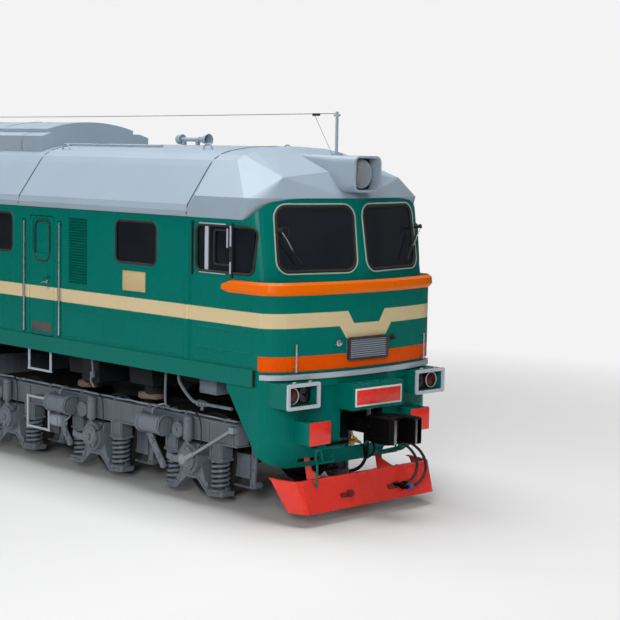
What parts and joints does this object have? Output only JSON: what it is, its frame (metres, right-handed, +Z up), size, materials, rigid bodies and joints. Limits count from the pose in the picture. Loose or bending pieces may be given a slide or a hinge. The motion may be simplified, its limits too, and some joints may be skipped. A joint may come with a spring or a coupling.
{
  "type": "diesel locomotive",
  "caption": "Six-axle diesel locomotive with a driving cab at each end, opening body doors, swivelling bogies and turning wheelsets.",
  "frame": {"origin": "on the floor under the middle of the body, at the height of the flange bottoms", "axes": "+X to the front cab, +Y to the left side, +Z up"},
  "size_m": [18.2, 3.012, 5.0129],
  "materials": {
    "body_green": "satin gloss enamel",
    "roof_grey": "satin enamel",
    "running_gear_grey": "satin enamel, dusty",
    "wheel_steel": "painted with bright worn treads",
    "trim_light": "gloss enamel",
    "belt_orange": "gloss enamel",
    "signal_red": "gloss enamel",
    "coupler_black": "matt black",
    "hose_rubber": "matt",
    "glazing": "tinted",
    "cab_plastic": "matt",
    "seat_vinyl": "matt"
  },
  "bodies": {
    "body": {"underframe": "body_green", "side_walls": "body_green", "front_cab": "body_green", "rear_cab": "body_green", "bulkheads": "trim_light", "cab_roofs": "roof_grey", "roof_sections": "roof_grey", "roof_hatch": "roof_grey", "cooling_shutters": "running_gear_grey", "windscreens": "glazing", "side_windows": "glazing", "side_louvres": "body_green", "handrails": "trim_light", "headlights": "roof_grey", "horns": "roof_grey", "antenna_masts": "roof_grey", "belt_mouldings": "belt_orange", "nose_strips": "trim_light", "nose_grilles": "running_gear_grey", "aprons": "body_green", "snow_ploughs": "signal_red", "marker_lamps": "body_green", "number_boxes": "body_green", "buffer_stubs": "signal_red", "brake_cocks": "coupler_black", "brake_hoses": "hose_rubber", "driver_desks": "cab_plastic", "driver_seats": "seat_vinyl", "engine": "running_gear_grey", "fuel_tank": "running_gear_grey", "air_reservoirs": "running_gear_grey", "motor_air_ducts": "running_gear_grey", "body_steps": "trim_light"},
    "front_bogie": {"front_side_frames": "running_gear_grey", "front_cross_beams": "running_gear_grey", "front_axle_boxes": "running_gear_grey", "front_springs": "running_gear_grey", "front_brakes": "running_gear_grey", "front_motors": "running_gear_grey"},
    "front_wheelset_1": {"front_wheelset_1": "wheel_steel"},
    "front_wheelset_2": {"front_wheelset_2": "wheel_steel"},
    "front_wheelset_3": {"front_wheelset_3": "wheel_steel"},
    "front_coupler": {"front_coupler": "coupler_black"},
    "rear_bogie": {"rear_side_frames": "running_gear_grey", "rear_cross_beams": "running_gear_grey", "rear_axle_boxes": "running_gear_grey", "rear_springs": "running_gear_grey", "rear_brakes": "running_gear_grey", "rear_motors": "running_gear_grey"},
    "rear_wheelset_1": {"rear_wheelset_1": "wheel_steel"},
    "rear_wheelset_2": {"rear_wheelset_2": "wheel_steel"},
    "rear_wheelset_3": {"rear_wheelset_3": "wheel_steel"},
    "rear_coupler": {"rear_coupler": "coupler_black"},
    "front_right_door": {"front_right_door": "body_green"},
    "front_left_door": {"front_left_door": "body_green"},
    "rear_right_door": {"rear_right_door": "body_green"},
    "rear_left_door": {"rear_left_door": "body_green"}
  },
  "joints": [
    {"name": "front_bogie_swivel", "type": "hinge", "parent": "body", "child": "front_bogie", "pos_m": [4.3, 0, 1.023], "axis": [0, 0, 1], "range_deg": [-3.5, 3.5]},
    {"name": "front_wheelset_1_roll", "type": "hinge", "parent": "front_bogie", "child": "front_wheelset_1", "pos_m": [6.4, 0, 0.553], "axis": [0, 1, 0], "continuous": true},
    {"name": "front_wheelset_2_roll", "type": "hinge", "parent": "front_bogie", "child": "front_wheelset_2", "pos_m": [4.3, 0, 0.553], "axis": [0, 1, 0], "continuous": true},
    {"name": "front_wheelset_3_roll", "type": "hinge", "parent": "front_bogie", "child": "front_wheelset_3", "pos_m": [2.2, 0, 0.553], "axis": [0, 1, 0], "continuous": true},
    {"name": "front_coupler_swing", "type": "hinge", "parent": "body", "child": "front_coupler", "pos_m": [7.76, 0, 1.128], "axis": [0, 0, 1], "range_deg": [-10, 10]},
    {"name": "rear_bogie_swivel", "type": "hinge", "parent": "body", "child": "rear_bogie", "pos_m": [-4.3, 0, 1.023], "axis": [0, 0, 1], "range_deg": [-3.5, 3.5]},
    {"name": "rear_wheelset_1_roll", "type": "hinge", "parent": "rear_bogie", "child": "rear_wheelset_1", "pos_m": [-2.2, 0, 0.553], "axis": [0, 1, 0], "continuous": true},
    {"name": "rear_wheelset_2_roll", "type": "hinge", "parent": "rear_bogie", "child": "rear_wheelset_2", "pos_m": [-4.3, 0, 0.553], "axis": [0, 1, 0], "continuous": true},
    {"name": "rear_wheelset_3_roll", "type": "hinge", "parent": "rear_bogie", "child": "rear_wheelset_3", "pos_m": [-6.4, 0, 0.553], "axis": [0, 1, 0], "continuous": true},
    {"name": "rear_coupler_swing", "type": "hinge", "parent": "body", "child": "rear_coupler", "pos_m": [-7.76, 0, 1.128], "axis": [0, 0, 1], "range_deg": [-10, 10]},
    {"name": "front_right_door_hinge", "type": "hinge", "parent": "body", "child": "front_right_door", "pos_m": [3.115, -1.38, 2.728], "axis": [0, 0, 1], "range_deg": [0, 90]},
    {"name": "front_left_door_hinge", "type": "hinge", "parent": "body", "child": "front_left_door", "pos_m": [3.115, 1.38, 2.728], "axis": [0, 0, 1], "range_deg": [-90, 0]},
    {"name": "rear_right_door_hinge", "type": "hinge", "parent": "body", "child": "rear_right_door", "pos_m": [-3.115, -1.38, 2.728], "axis": [0, 0, 1], "range_deg": [-90, 0]},
    {"name": "rear_left_door_hinge", "type": "hinge", "parent": "body", "child": "rear_left_door", "pos_m": [-3.115, 1.38, 2.728], "axis": [0, 0, 1], "range_deg": [0, 90]}
  ]
}
